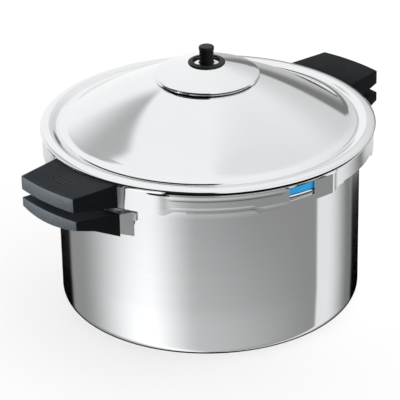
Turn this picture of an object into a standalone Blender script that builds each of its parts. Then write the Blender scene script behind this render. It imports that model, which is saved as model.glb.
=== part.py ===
"""Stovetop pressure cooker with a bayonet lid, side grips and a spring pressure indicator.

Frame: +Z up, origin on the pot's axis in the plane that it stands on, grips along X.
Every length is in metres and every angle that a name gives is in degrees.
"""
import math

import bmesh
import bpy
from mathutils import Matrix

# ---- Driving dimensions ----------------------------------------------------------------
POT_RADIUS = 0.1415          # outside of the pot's wall
POT_HEIGHT = 0.1594          # underside of the pot's sheet to the top of its flange
SHEET = 0.0012               # steel sheet of the pot and the lid
BOTTOM_FILLET = 0.0102       # outside radius between wall and floor
FLANGE_REACH = 0.0113        # flange beyond the wall
FLANGE_DROP = 0.0082         # depth of the flange's turned-down edge
MOUTH_FILLET = 0.0016        # inside radius between wall and flange

BASE_RADIUS = 0.1220
BASE_CORE_HEIGHT = 0.0036
BASE_CAP_SHEET = 0.0008
BASE_CAP_RISE = 0.0024       # height of the cap's edge beside the core

GASKET_WIDTH = 0.0114
GASKET_HEIGHT = 0.0105
GASKET_LIP = 0.0024          # thickness of its two lips
GASKET_WALL = 0.0036

VALLEY_INSET = 0.0027        # lid's lowest ring inside the pot's wall
DOME_RISE = 0.0574
DOME_POWER = 1.45            # the dome's height falls with this power of the radius
PLATEAU_RADIUS = 0.0340      # flat middle of the dome, under the valve cover
RIM_RISE = 0.0035            # rim's crest above the valley
RIM_OVERHANG = 0.0018        # rim beyond the skirt
RIM_EDGE_RISE = 0.0010       # rim's lower edge above the valley
SKIRT_SHORT_DROP = 0.0054    # short stretches of the skirt below the flange's top

LUG_THICKNESS = 0.0015
LUG_REACH = 0.0058
LUG_SPAN = 26.0
LUG_ANGLES = (77.5, 167.5, 257.5, 347.5)
UNLOCK_TURN = 36.0
NOTCH_SPARE = 2.0            # notch beyond the lug, at each end
NOTCH_DEPTH_SPARE = 0.0007

# Lower edge of the skirt: it repeats after half a turn.
TALL_SPANS = ((123.0, 211.0), (242.6, 272.3))
RAMP_AFTER_GRIP = 4.0
RAMP_AFTER_MIDDLE = 5.0
WINDOW_SPAN = (253.4, 263.4)
WINDOW_BELOW_FLANGE_TOP = 0.0041
WINDOW_ABOVE_FLANGE_TOP = 0.0085

GRIP_LENGTH = 0.0440
LID_GRIP_INNER_HALF_WIDTH = 0.0403
LID_GRIP_OUTER_HALF_WIDTH = 0.0348
LID_GRIP_INNER_HEIGHT = 0.0226
LID_GRIP_OUTER_HEIGHT = 0.0130
LID_GRIP_EDGE = 0.0012
POT_GRIP_INNER_HALF_WIDTH = 0.0412
POT_GRIP_OUTER_HALF_WIDTH = 0.0362
POT_GRIP_OUTER_TOP_DROP = 0.0092    # top of its outer end below the flange's top
POT_GRIP_INNER_TOP_DROP = 0.0159
POT_GRIP_OUTER_BOTTOM_DROP = 0.0177
POT_GRIP_MIDDLE_BOTTOM_DROP = 0.0244
POT_GRIP_INNER_BOTTOM_DROP = 0.0384
POT_GRIP_CROWN = 0.0035
POT_GRIP_MIDDLE = 0.57              # where its underside bends, as a share of its length
GRIP_PLATE = 0.0011
LID_PLATE_HALF_WIDTH = 0.0450
LID_PLATE_HEIGHT = 0.0205
LID_TONGUE = (0.0300, 0.0130, 0.0030)    # length, half width, thickness
LID_TONGUE_DROP = 0.0075                 # top of the tongue below the grip's top
POT_TONGUE = (0.0230, 0.0140, 0.0030)
POT_TONGUE_DROP = 0.0189                 # top of the tongue below the flange's top
BRACKET_TOP_DROP = 0.0181
BRACKET_HEIGHT = 0.0285                  # at its root, which the wall's curve cuts away
BRACKET_DEPTH = 0.0145                   # wall to the start of the tongue
BRACKET_ROOT_INSET = 0.0165              # root inside the wall's outermost line
BRACKET_ROOT_HALF_WIDTH = 0.0466
BRACKET_TIP_HALF_WIDTH = 0.0365
BRACKET_TIP_RISE = 0.0131
BRACKET_SHEET = 0.0015
BRACKET_TAB_HALF_WIDTH = 0.0465          # welding tab on the wall
BRACKET_TAB_HEIGHT = 0.0080
POT_GRIP_SETBACK = 0.0014                # grip's inner end inside the bracket's tip

SCREW_SHANK_RADIUS = 0.0024
SCREW_HEAD_RADIUS = 0.0046
SCREW_HEAD_HEIGHT = 0.0026
LID_SCREW_OUT = 0.0200                   # screw axis beyond the grip's inner end
POT_SCREW_OUT = 0.0130
SCREW_SINK = 0.0010

STEM_RADIUS = 0.0067
STEM_RIB_DEPTH = 0.0007
STEM_RIBS = 4
STEM_HEAD_RADIUS = 0.0071
STEM_HEAD_HEIGHT = 0.0035
STEM_ABOVE_COLLAR = 0.0160
STEM_ROD_RADIUS = 0.0026
STEM_BELOW_COLLAR = 0.0077
EAR_REACH = 0.0092
EAR_HALF_WIDTH = 0.0010
EAR_HEIGHT = 0.0016
EAR_ANGLE = -45.0
PRESS_TRAVEL = 0.0025
RISE_TRAVEL = 0.0080
MARK_HEIGHT = 0.0012
MARK_THICKNESS = 0.0008
LOW_MARK_DEPTH = 0.0024                  # top of each mark below the collar at rest
HIGH_MARK_DEPTH = 0.0052

COLLAR_RADIUS = 0.0118
COLLAR_HEIGHT = 0.0095                   # plateau to the collar's top
VALVE_FLANGE_RADIUS = 0.0140
VALVE_FLANGE_HEIGHT = 0.0020
VALVE_TUBE_RADIUS = 0.0092
VALVE_TUBE_DROP = 0.0217                 # plateau to the tube's lower end
VALVE_LOWER_BORE = 0.0060
VALVE_WEB_DROP = 0.0087                  # plateau to the web's top
VALVE_WEB = 0.0020
SEAL_HEIGHT = 0.0010
NUT_RADIUS = 0.0145                      # across its corners, halved
NUT_HEIGHT = 0.0050
MEMBRANE_WALL = 0.0017
MEMBRANE_OVERLAP = 0.0035
MEMBRANE_ROOM = 0.0030
MEMBRANE_HOLE = 0.0012
CLIP_RADIUS = 0.0046
CLIP_HEIGHT = 0.0008
SPRING_RADIUS = 0.0049
SPRING_WIRE = 0.00045
SPRING_TURNS = 5

COVER_RADIUS = 0.0488
COVER_SHEET = 0.0008
COVER_EDGE = 0.0020                      # height of its turned-down edge
COVER_EDGE_INSET = 0.0011
COVER_LIFT = 0.0015                      # edge above the dome
COVER_SLOPE = 0.344
COVER_RING_RADIUS = 0.0172
COVER_RING_BORE = 0.0123
COVER_RING_SLEEVE = 0.0020

# ---- Clearances ------------------------------------------------------------------------
GAP = 0.0003                             # between pieces that touch
TURN_GAP = 0.0003                        # flange to skirt
LUG_GAP = 0.0005                         # flange's lower edge to the lugs
STEM_GAP = 0.0005                        # stem in the collar

STEPS = 64                               # sides of the large round pieces
SMALL_STEPS = 24

# ---- Sizes that follow from them -------------------------------------------------------
BASE_HEIGHT = BASE_CAP_SHEET + GAP + BASE_CORE_HEIGHT + GAP
FLANGE_TOP = BASE_HEIGHT + POT_HEIGHT
FLANGE_RADIUS = POT_RADIUS + FLANGE_REACH
FLANGE_EDGE_Z = FLANGE_TOP - FLANGE_DROP
WALL_TOP = FLANGE_TOP - MOUTH_FILLET - SHEET - GAP
SKIRT_BORE = FLANGE_RADIUS + TURN_GAP
SKIRT_RADIUS = SKIRT_BORE + SHEET
GASKET_Z = FLANGE_TOP + GAP
GASKET_TOP = GASKET_Z + GASKET_HEIGHT
GASKET_RADIUS = SKIRT_BORE - TURN_GAP - GAP / 2
VALLEY_RADIUS = POT_RADIUS - VALLEY_INSET
VALLEY_Z = GASKET_TOP + GAP + SHEET + GAP / 2
RIM_RADIUS = SKIRT_RADIUS + RIM_OVERHANG
RIM_EDGE_Z = VALLEY_Z + RIM_EDGE_RISE
RIM_TOP_Z = VALLEY_Z + RIM_RISE
LUG_TOP_Z = FLANGE_EDGE_Z - LUG_GAP
LUG_Z = LUG_TOP_Z - LUG_THICKNESS
LUG_BORE = SKIRT_BORE - LUG_REACH
NOTCH_RADIUS = LUG_BORE - NOTCH_DEPTH_SPARE
SKIRT_SHORT_Z = FLANGE_TOP - SKIRT_SHORT_DROP


def dome_height(radius):
    """Height of the lid's outer surface inside its valley."""
    fall = (radius / VALLEY_RADIUS) ** DOME_POWER
    return VALLEY_Z + DOME_RISE * (1.0 - fall)


PLATEAU_Z = dome_height(PLATEAU_RADIUS)
COLLAR_TOP = PLATEAU_Z + COLLAR_HEIGHT
STEM_BORE = STEM_RADIUS + STEM_GAP
VALVE_HOLE = VALVE_TUBE_RADIUS + GAP
SEAL_Z = PLATEAU_Z + GAP
VALVE_FLANGE_Z = SEAL_Z + SEAL_HEIGHT + GAP
VALVE_FLANGE_TOP = VALVE_FLANGE_Z + VALVE_FLANGE_HEIGHT
VALVE_TUBE_Z = PLATEAU_Z - VALVE_TUBE_DROP
WEB_TOP = PLATEAU_Z - VALVE_WEB_DROP
WEB_Z = WEB_TOP - VALVE_WEB
STEM_FOOT = COLLAR_TOP - STEM_BELOW_COLLAR
STEM_TOP = COLLAR_TOP + STEM_ABOVE_COLLAR
CLIP_Z = WEB_Z - RISE_TRAVEL - CLIP_HEIGHT - 2 * GAP
ROD_Z = CLIP_Z - 3 * GAP
COVER_EDGE_Z = dome_height(COVER_RADIUS) + COVER_LIFT
COVER_SHOULDER_RADIUS = COVER_RADIUS - COVER_EDGE_INSET
COVER_SHOULDER_Z = COVER_EDGE_Z + COVER_EDGE
COVER_BORE = COVER_RING_BORE + COVER_RING_SLEEVE + GAP

LID_GRIP_RADIUS = SKIRT_RADIUS + GAP + GRIP_PLATE + GAP
LID_GRIP_TOP = RIM_EDGE_Z - 0.0008
BRACKET_TIP = POT_RADIUS + GAP + BRACKET_DEPTH
POT_GRIP_RADIUS = BRACKET_TIP - POT_GRIP_SETBACK


def cover_height(radius):
    """Height of the valve cover's outer cone."""
    return COVER_SHOULDER_Z + COVER_SLOPE * (COVER_SHOULDER_RADIUS - radius)


# ---- Scene and helpers -----------------------------------------------------------------
def clear_scene():
    for item in list(bpy.data.objects):
        bpy.data.objects.remove(item, do_unlink=True)


def new_collection(name):
    group = bpy.data.collections.new(name)
    bpy.context.scene.collection.children.link(group)
    return group


clear_scene()
PARTS = new_collection("pressure_cooker")
CUTTERS = new_collection("cutters")


def make_material(name, color, roughness, metallic):
    surface = bpy.data.materials.new(name)
    surface.use_nodes = True
    shader = surface.node_tree.nodes["Principled BSDF"]
    shader.inputs["Base Color"].default_value = (*color, 1.0)
    shader.inputs["Roughness"].default_value = roughness
    shader.inputs["Metallic"].default_value = metallic
    return surface


def put_in(item, group):
    for other in list(item.users_collection):
        other.objects.unlink(item)
    group.objects.link(item)


def mesh_object(name, mesh, group=PARTS):
    item = bpy.data.objects.new(name, mesh)
    group.objects.link(item)
    return item


def finish(item, surface, parent=None):
    """Give a piece its own material, smooth shading and its place in the assembly."""
    item.data.materials.clear()
    item.data.materials.append(surface)
    item.data.shade_smooth()
    item.data.set_sharp_from_angle(angle=math.radians(35))
    item.parent = parent
    return item


def turned(name, outline, steps=STEPS, closed=True, group=PARTS):
    """A turned piece: outline is (radius, height) points, clockwise from the inner top."""
    mesh = bpy.data.meshes.new(name)
    points = [(radius, 0.0, height) for radius, height in outline]
    edges = [(i, i + 1) for i in range(len(points) - 1)]
    if closed:
        edges.append((len(points) - 1, 0))
    mesh.from_pydata(points, edges, [])
    item = mesh_object(name, mesh, group)
    screw = item.modifiers.new("turn", "SCREW")
    screw.axis = "Z"
    screw.steps = steps
    screw.render_steps = steps
    screw.use_merge_vertices = True
    screw.merge_threshold = 0.00001
    screw.use_smooth_shade = True
    return item


def as_cutter(item):
    put_in(item, CUTTERS)
    item.hide_render = True
    item.display_type = "WIRE"
    return item


def boolean(item, other, operation="DIFFERENCE"):
    cut = item.modifiers.new(operation.lower(), "BOOLEAN")
    cut.object = other
    cut.operation = operation
    cut.solver = "EXACT"
    as_cutter(other)


def box(name, low, high, angle=0.0):
    """A box between two corners, turned about the Z axis."""
    bpy.ops.mesh.primitive_cube_add(size=1.0)
    item = bpy.context.active_object
    item.name = name
    for vertex in item.data.vertices:
        vertex.co = [low[k] + (vertex.co[k] + 0.5) * (high[k] - low[k]) for k in range(3)]
    item.rotation_euler.z = math.radians(angle)
    return item


def cylinder(name, radius, bottom, top, at=(0.0, 0.0), sides=SMALL_STEPS):
    bpy.ops.mesh.primitive_cylinder_add(
        vertices=sides, radius=radius, depth=top - bottom,
        location=(at[0], at[1], (top + bottom) / 2))
    item = bpy.context.active_object
    item.name = name
    return item


def sector(name, start, end, inner, outer, bottom, top_at):
    """A curved block from angle start to end whose top follows top_at(angle)."""
    form = bmesh.new()
    corners = [(inner, bottom), (outer, bottom), (outer, bottom + 1.0), (inner, bottom + 1.0)]
    points = [form.verts.new((radius, 0.0, height)) for radius, height in corners]
    edges = [form.edges.new((points[i - 1], points[i])) for i in range(4)]
    turn = math.radians(end - start)
    steps = max(1, round((end - start) / 2.5))
    bmesh.ops.rotate(form, verts=points, cent=(0, 0, 0), matrix=Matrix.Rotation(math.radians(start), 3, "Z"))
    bmesh.ops.spin(form, geom=points + edges, cent=(0, 0, 0), axis=(0, 0, 1),
                   angle=turn, steps=steps)
    open_edges = [edge for edge in form.edges if edge.is_boundary]
    bmesh.ops.holes_fill(form, edges=open_edges, sides=4)
    for vertex in form.verts:
        if vertex.co.z > bottom + 0.5:
            angle = math.degrees(math.atan2(vertex.co.y, vertex.co.x)) % 360.0
            if angle < start - 1.0:
                angle += 360.0
            vertex.co.z = top_at(angle)
    bmesh.ops.recalc_face_normals(form, faces=form.faces)
    mesh = bpy.data.meshes.new(name)
    form.to_mesh(mesh)
    form.free()
    return mesh_object(name, mesh)


def axis_empty(name, height, parent=None):
    """An empty on the cooker's axis, which carries the pieces of one moving body."""
    empty = bpy.data.objects.new(name, None)
    empty.location.z = height
    empty.parent = parent
    if parent:
        empty.location.z -= parent_height(parent)
    PARTS.objects.link(empty)
    return empty


def parent_height(item):
    total = 0.0
    while item:
        total += item.location.z
        item = item.parent
    return total


def carry(item, empty):
    """Parent a piece to an empty without moving it."""
    item.parent = empty
    item.location.z -= parent_height(empty)


STEEL = ((0.78, 0.79, 0.80), 0.14, 1.0)
BLACK = ((0.045, 0.05, 0.055), 0.45, 0.0)


# ---- Pot -------------------------------------------------------------------------------
def fillet(center, radius, start, end, points=5):
    """Points of an arc in the outline's plane, angles from +radius towards +height."""
    angles = [start + (end - start) * i / (points - 1) for i in range(points)]
    return [(center[0] + radius * math.cos(math.radians(a)),
             center[1] + radius * math.sin(math.radians(a))) for a in angles]


def make_pot_shell():
    """The pot's wall and floor."""
    inside = POT_RADIUS - SHEET
    inner_fillet = BOTTOM_FILLET - SHEET
    outline = [(0.0, BASE_HEIGHT + SHEET)]
    outline += fillet((inside - inner_fillet, BASE_HEIGHT + BOTTOM_FILLET), inner_fillet, -90, 0)
    outline += [(inside, WALL_TOP), (POT_RADIUS, WALL_TOP)]
    outline += fillet((POT_RADIUS - BOTTOM_FILLET, BASE_HEIGHT + BOTTOM_FILLET),
                      BOTTOM_FILLET, 0, -90, 6)
    outline += [(0.0, BASE_HEIGHT)]
    pot = turned("pot_shell", outline, closed=False)
    return finish(pot, make_material("pot_steel", *STEEL))


def make_pot_flange():
    """The turned-out flange on the wall, notched where the lid's lugs pass."""
    inside = POT_RADIUS - SHEET
    outline = fillet((inside + MOUTH_FILLET, FLANGE_TOP - MOUTH_FILLET), MOUTH_FILLET, 180, 90, 4)
    outline += fillet((FLANGE_RADIUS - SHEET, FLANGE_TOP - SHEET), SHEET, 90, 0, 4)
    outline += [(FLANGE_RADIUS, FLANGE_EDGE_Z), (FLANGE_RADIUS - SHEET, FLANGE_EDGE_Z),
                (FLANGE_RADIUS - SHEET, FLANGE_TOP - SHEET), (POT_RADIUS, FLANGE_TOP - SHEET),
                (POT_RADIUS, WALL_TOP + GAP), (inside, WALL_TOP + GAP)]
    flange = turned("pot_flange", outline)
    half = LUG_SPAN / 2 + NOTCH_SPARE
    for number, angle in enumerate(LUG_ANGLES):
        middle = angle + UNLOCK_TURN
        notch = sector(f"notch_{number}", middle - half, middle + half, NOTCH_RADIUS,
                       FLANGE_RADIUS + 0.003, FLANGE_EDGE_Z - 0.003,
                       lambda _: FLANGE_TOP + 0.003)
        boolean(flange, notch)
    return finish(flange, make_material("flange_steel", *STEEL))


def make_base():
    core_z = BASE_CAP_SHEET + GAP
    core = turned("base_core", [(0.0, core_z + BASE_CORE_HEIGHT),
                                (BASE_RADIUS - BASE_CAP_SHEET - GAP, core_z + BASE_CORE_HEIGHT),
                                (BASE_RADIUS - BASE_CAP_SHEET - GAP, core_z),
                                (0.0, core_z)], closed=False)
    finish(core, make_material("base_aluminium", (0.74, 0.75, 0.76), 0.35, 1.0))
    edge = BASE_CAP_SHEET
    cap = turned("base_cap", [(0.0, edge), (BASE_RADIUS - edge, edge),
                              (BASE_RADIUS - edge, edge + BASE_CAP_RISE),
                              (BASE_RADIUS, edge + BASE_CAP_RISE),
                              (BASE_RADIUS, edge), (BASE_RADIUS - edge, 0.0),
                              (0.0, 0.0)], closed=False)
    finish(cap, make_material("base_steel", (0.72, 0.73, 0.74), 0.22, 1.0))


# ---- Grips, brackets and screws --------------------------------------------------------
def grip_block(name, inner_radius, inner_half, outer_half, top_at, bottom_at):
    """A grip on the +X side. top_at and bottom_at take the place along it and across it."""
    outer_radius = inner_radius + GRIP_LENGTH
    inner_angle = math.asin(inner_half / inner_radius)
    outer_angle = math.asin(outer_half / outer_radius)
    form = bmesh.new()
    bmesh.ops.create_grid(form, x_segments=5, y_segments=6, size=0.5)
    raised = bmesh.ops.extrude_face_region(form, geom=list(form.faces))
    upper = {item for item in raised["geom"] if isinstance(item, bmesh.types.BMVert)}
    for vertex in form.verts:
        along = vertex.co.x + 0.5
        across = 2 * vertex.co.y
        radius = inner_radius + GRIP_LENGTH * along
        angle = across * (inner_angle + (outer_angle - inner_angle) * along)
        height = top_at(along) if vertex in upper else bottom_at(along, across)
        vertex.co = (radius * math.cos(angle), radius * math.sin(angle), height)
    bmesh.ops.recalc_face_normals(form, faces=form.faces)
    mesh = bpy.data.meshes.new(name)
    form.to_mesh(mesh)
    form.free()
    grip = mesh_object(name, mesh)
    edge = grip.modifiers.new("edges", "BEVEL")
    edge.width = LID_GRIP_EDGE
    edge.segments = 1
    edge.limit_method = "ANGLE"
    edge.angle_limit = math.radians(40)
    return grip


def screw_profile(head_z, shank_top):
    """Pan head below, shank above."""
    soft = SCREW_HEAD_HEIGHT * 0.3
    return [(0.0, shank_top), (SCREW_SHANK_RADIUS, shank_top),
            (SCREW_SHANK_RADIUS, head_z + SCREW_HEAD_HEIGHT),
            (SCREW_HEAD_RADIUS, head_z + SCREW_HEAD_HEIGHT),
            (SCREW_HEAD_RADIUS, head_z + soft),
            (SCREW_HEAD_RADIUS - soft, head_z), (0.0, head_z)]


def add_screw(name, radius, head_z, shank_top, angle, parent=None):
    screw = turned(name, screw_profile(head_z, shank_top), steps=16, closed=False)
    socket = cylinder(name + "_socket", SCREW_HEAD_RADIUS * 0.5, head_z - 0.001,
                      head_z + SCREW_HEAD_HEIGHT * 0.6, sides=6)
    place_at(socket, radius, angle)
    boolean(screw, socket)
    place_at(screw, radius, angle)
    finish(screw, make_material(name + "_steel", (0.70, 0.71, 0.72), 0.30, 1.0))
    if parent:
        carry(screw, parent)


def place_at(item, radius, angle):
    item.location.x = radius * math.cos(math.radians(angle))
    item.location.y = radius * math.sin(math.radians(angle))


def drill(grip, radius, head_z, pocket_z, angle):
    """A recess for the screw's head and a hole for its shank, up into the tongue's pocket."""
    recess_top = head_z + SCREW_HEAD_HEIGHT + GAP
    recess = cylinder(grip.name + "_recess", SCREW_HEAD_RADIUS + 2 * GAP,
                      head_z - 0.020, recess_top, sides=20)
    hole = cylinder(grip.name + "_hole", SCREW_SHANK_RADIUS + GAP,
                    recess_top - 0.001, pocket_z + 0.001, sides=20)
    for cutter in (recess, hole):
        place_at(cutter, radius, angle)
        boolean(grip, cutter)


def lid_grip_bottom(along, _across):
    height = LID_GRIP_INNER_HEIGHT + (LID_GRIP_OUTER_HEIGHT - LID_GRIP_INNER_HEIGHT) * along
    return LID_GRIP_TOP - height


def pot_grip_top(along):
    drop = POT_GRIP_INNER_TOP_DROP
    return FLANGE_TOP - drop - (POT_GRIP_OUTER_TOP_DROP - drop) * along


def pot_grip_bottom(along, across):
    if along < POT_GRIP_MIDDLE:
        share = along / POT_GRIP_MIDDLE
        drop = POT_GRIP_INNER_BOTTOM_DROP
        drop += (POT_GRIP_MIDDLE_BOTTOM_DROP - POT_GRIP_INNER_BOTTOM_DROP) * share
    else:
        share = (along - POT_GRIP_MIDDLE) / (1.0 - POT_GRIP_MIDDLE)
        drop = POT_GRIP_MIDDLE_BOTTOM_DROP
        drop += (POT_GRIP_OUTER_BOTTOM_DROP - POT_GRIP_MIDDLE_BOTTOM_DROP) * share
    return FLANGE_TOP - drop - POT_GRIP_CROWN * along * (1.0 - across * across)


def pocket_for(tongue):
    (x0, y0, z0), (x1, y1, z1) = tongue
    return (x0 - 0.010, y0 - GAP, z0 - GAP), (x1 + GAP, y1 + GAP, z1 + GAP)


def turn_about_axis(item, angle):
    item.rotation_euler.z += math.radians(angle)
    return item


def make_lid_grip(side, angle, parent):
    length, half_width, thickness = LID_TONGUE
    tongue_top = LID_GRIP_TOP - LID_TONGUE_DROP
    root = SKIRT_RADIUS + GAP
    tongue = ((root, -half_width, tongue_top - thickness),
              (root + length, half_width, tongue_top))
    screw_radius = LID_GRIP_RADIUS + LID_SCREW_OUT
    head_z = lid_grip_bottom(LID_SCREW_OUT / GRIP_LENGTH, 0.0) + SCREW_SINK
    low, high = pocket_for(tongue)

    grip = grip_block(f"lid_grip_{side}", LID_GRIP_RADIUS, LID_GRIP_INNER_HALF_WIDTH,
                      LID_GRIP_OUTER_HALF_WIDTH, lambda _: LID_GRIP_TOP, lid_grip_bottom)
    boolean(grip, turn_about_axis(box(f"lid_grip_pocket_{side}", low, high), angle))
    drill(grip, screw_radius, head_z, low[2], angle)
    turn_about_axis(grip, angle)
    finish(grip, make_material(f"lid_grip_{side}_black", *BLACK))

    half = math.degrees(math.asin(LID_PLATE_HALF_WIDTH / root))
    plate_top = RIM_EDGE_Z - 0.0022
    bracket = sector(f"lid_bracket_{side}", -half, half, root, root + GRIP_PLATE,
                     plate_top - LID_PLATE_HEIGHT, lambda _: plate_top)
    arm = box(f"lid_tongue_{side}", (root + GRIP_PLATE / 2, tongue[0][1], tongue[0][2]),
              tongue[1], angle)
    boolean(bracket, arm, "UNION")
    hole = cylinder(f"lid_tongue_hole_{side}", SCREW_SHANK_RADIUS + GAP,
                    tongue_top - thickness - 0.002, tongue_top + 0.002, sides=20)
    place_at(hole, screw_radius, angle)
    boolean(bracket, hole)
    turn_about_axis(bracket, angle)
    finish(bracket, make_material(f"lid_bracket_{side}_steel", *STEEL))
    add_screw(f"lid_grip_screw_{side}", screw_radius, head_z, tongue_top, angle, parent)
    for piece in (grip, bracket):
        carry(piece, parent)


def bracket_form(name, root_x, depth, spare, bottom, top):
    """A block on the +X side that narrows outwards and whose underside rises."""
    item = box(name, (root_x, -1.0, bottom), (root_x + depth, 1.0, top))
    for vertex in item.data.vertices:
        at_tip = vertex.co.x > root_x + depth / 2
        half = (BRACKET_TIP_HALF_WIDTH if at_tip else BRACKET_ROOT_HALF_WIDTH) + spare
        vertex.co.y = math.copysign(half, vertex.co.y)
        if at_tip and vertex.co.z < (bottom + top) / 2:
            vertex.co.z = bottom + BRACKET_TIP_RISE
    return item


def make_pot_grip(side, angle):
    length, half_width, thickness = POT_TONGUE
    root_x = POT_RADIUS - BRACKET_ROOT_INSET
    depth = BRACKET_TIP - root_x
    top = FLANGE_TOP - BRACKET_TOP_DROP
    bottom = top - BRACKET_HEIGHT
    tongue_top = FLANGE_TOP - POT_TONGUE_DROP
    tongue = ((BRACKET_TIP, -half_width, tongue_top - thickness),
              (BRACKET_TIP + length, half_width, tongue_top))
    screw_radius = BRACKET_TIP + POT_SCREW_OUT
    along = (screw_radius - POT_GRIP_RADIUS) / GRIP_LENGTH
    head_z = pot_grip_bottom(along, 0.0) + SCREW_SINK
    low, high = pocket_for(tongue)

    grip = grip_block(f"pot_grip_{side}", POT_GRIP_RADIUS, POT_GRIP_INNER_HALF_WIDTH,
                      POT_GRIP_OUTER_HALF_WIDTH, pot_grip_top, pot_grip_bottom)
    seat = bracket_form(f"pot_grip_seat_{side}", root_x, depth + GAP, GAP,
                        bottom - BRACKET_HEIGHT, top + GAP)
    boolean(grip, turn_about_axis(seat, angle))
    boolean(grip, turn_about_axis(box(f"pot_grip_pocket_{side}", low, high), angle))
    drill(grip, screw_radius, head_z, low[2], angle)
    turn_about_axis(grip, angle)
    finish(grip, make_material(f"pot_grip_{side}_black", *BLACK))

    bracket = bracket_form(f"pot_bracket_{side}", root_x, depth, 0.0, bottom, top)
    sheet = BRACKET_SHEET
    hollow = bracket_form(f"bracket_hollow_{side}", root_x - sheet, depth, -sheet,
                          bottom + sheet, top - sheet)
    boolean(bracket, turn_about_axis(hollow, angle))
    half = math.degrees(math.asin(BRACKET_TAB_HALF_WIDTH / POT_RADIUS))
    tab = sector(f"bracket_tab_{side}", -half, half, POT_RADIUS, POT_RADIUS + GAP + sheet,
                 top - BRACKET_TAB_HEIGHT, lambda _: top)
    boolean(bracket, turn_about_axis(tab, angle), "UNION")
    arm = box(f"pot_tongue_{side}", (BRACKET_TIP - sheet / 2, *tongue[0][1:]), tongue[1], angle)
    boolean(bracket, arm, "UNION")
    hole = cylinder(f"pot_tongue_hole_{side}", SCREW_SHANK_RADIUS + GAP,
                    tongue_top - thickness - 0.002, tongue_top + 0.002, sides=20)
    place_at(hole, screw_radius, angle)
    boolean(bracket, hole)
    wall = cylinder(f"bracket_wall_{side}", POT_RADIUS + GAP, 0.0, 2 * FLANGE_TOP, sides=STEPS)
    boolean(bracket, wall)
    turn_about_axis(bracket, angle)
    finish(bracket, make_material(f"pot_bracket_{side}_steel", *STEEL))
    add_screw(f"pot_grip_screw_{side}", screw_radius, head_z, tongue_top, angle)


# ---- Gasket and lid --------------------------------------------------------------------
def make_gasket():
    """Silicone ring, open towards the inside so that pressure spreads its two lips."""
    bore = GASKET_RADIUS - GASKET_WIDTH
    back = GASKET_RADIUS - GASKET_WALL
    top_lip = GASKET_TOP - GASKET_LIP
    bottom_lip = GASKET_Z + GASKET_LIP
    gasket = turned("gasket", [(bore, GASKET_TOP), (GASKET_RADIUS, GASKET_TOP),
                               (GASKET_RADIUS, GASKET_Z), (bore, GASKET_Z),
                               (bore, bottom_lip), (back, bottom_lip),
                               (back, top_lip), (bore, top_lip)])
    return finish(gasket, make_material("gasket_silicone", (0.02, 0.30, 0.62), 0.45, 0.0))


def skirt_drop_at(angle):
    """Share of the short skirt that is cut away at an angle: 0 in tall stretches, 1 in short."""
    share = 1.0
    for (start, end), ramp in zip(TALL_SPANS, (RAMP_AFTER_GRIP, RAMP_AFTER_MIDDLE)):
        for turn in (0.0, 180.0, 360.0):
            past_end = angle - (end + turn)
            if start + turn <= angle <= end + turn:
                return 0.0
            if 0.0 < past_end < ramp:
                share = min(share, 0.5 - 0.5 * math.cos(math.pi * past_end / ramp))
    return share


def skirt_edge_at(angle):
    return LUG_Z + (SKIRT_SHORT_Z - LUG_Z) * skirt_drop_at(angle)


def make_lid_shell(parent):
    dome = [VALLEY_RADIUS + (PLATEAU_RADIUS - VALLEY_RADIUS) * i / 6 for i in range(6, -1, -1)]
    rise = VALLEY_RADIUS + (SKIRT_RADIUS - VALLEY_RADIUS) * 0.6
    top = [(VALVE_HOLE, PLATEAU_Z)]
    top += [(radius, dome_height(radius)) for radius in dome]
    top += [(VALLEY_RADIUS + 0.0030, VALLEY_Z + RIM_RISE * 0.25),
            (rise, RIM_TOP_Z - 0.0003), (SKIRT_RADIUS - 0.0013, RIM_TOP_Z),
            (RIM_RADIUS - 0.0008, RIM_TOP_Z - 0.0008), (RIM_RADIUS, RIM_EDGE_Z + 0.0005),
            (RIM_RADIUS - 0.0002, RIM_EDGE_Z), (SKIRT_RADIUS, RIM_EDGE_Z - 0.0005)]
    under = [(SKIRT_RADIUS, LUG_Z), (LUG_BORE, LUG_Z), (LUG_BORE, LUG_TOP_Z),
             (SKIRT_BORE, LUG_TOP_Z), (SKIRT_BORE, RIM_TOP_Z - 1.6 * SHEET),
             (SKIRT_BORE - 0.0006, RIM_TOP_Z - SHEET), (rise, RIM_TOP_Z - SHEET - 0.0003),
             (VALLEY_RADIUS + 0.0030, VALLEY_Z + RIM_RISE * 0.25 - SHEET)]
    under += [(radius, dome_height(radius) - SHEET) for radius in reversed(dome)]
    under += [(VALVE_HOLE, PLATEAU_Z - SHEET)]
    lid = turned("lid_shell", top + under)

    half = LUG_SPAN / 2
    for number, angle in enumerate(LUG_ANGLES):
        start = angle + half
        end = LUG_ANGLES[(number + 1) % len(LUG_ANGLES)] - half
        if end < start:
            end += 360.0
        lip = sector(f"between_lugs_{number}", start, end, LUG_BORE - 0.003,
                     SKIRT_BORE + SHEET * 0.1, LUG_Z - 0.003,
                     lambda _: LUG_TOP_Z + SHEET * 0.1)
        boolean(lid, lip)
        carry(lip, parent)
    for turn in (0.0, 180.0):
        for number in (0, 1):
            start = TALL_SPANS[number][1] + turn
            end = TALL_SPANS[1][0] + turn if number == 0 else TALL_SPANS[0][0] + 180.0 + turn
            edge = sector(f"short_skirt_{number}_{turn:.0f}", start, end, SKIRT_BORE - 0.004,
                          RIM_RADIUS + 0.003, LUG_Z - 0.004, skirt_edge_at)
            boolean(lid, edge)
            carry(edge, parent)
        window = sector(f"window_{turn:.0f}", WINDOW_SPAN[0] + turn, WINDOW_SPAN[1] + turn,
                        SKIRT_BORE - 0.003, RIM_RADIUS + 0.003,
                        FLANGE_TOP - WINDOW_BELOW_FLANGE_TOP,
                        lambda _: FLANGE_TOP + WINDOW_ABOVE_FLANGE_TOP)
        boolean(lid, window)
        carry(window, parent)
    finish(lid, make_material("lid_steel", *STEEL))
    carry(lid, parent)


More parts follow.
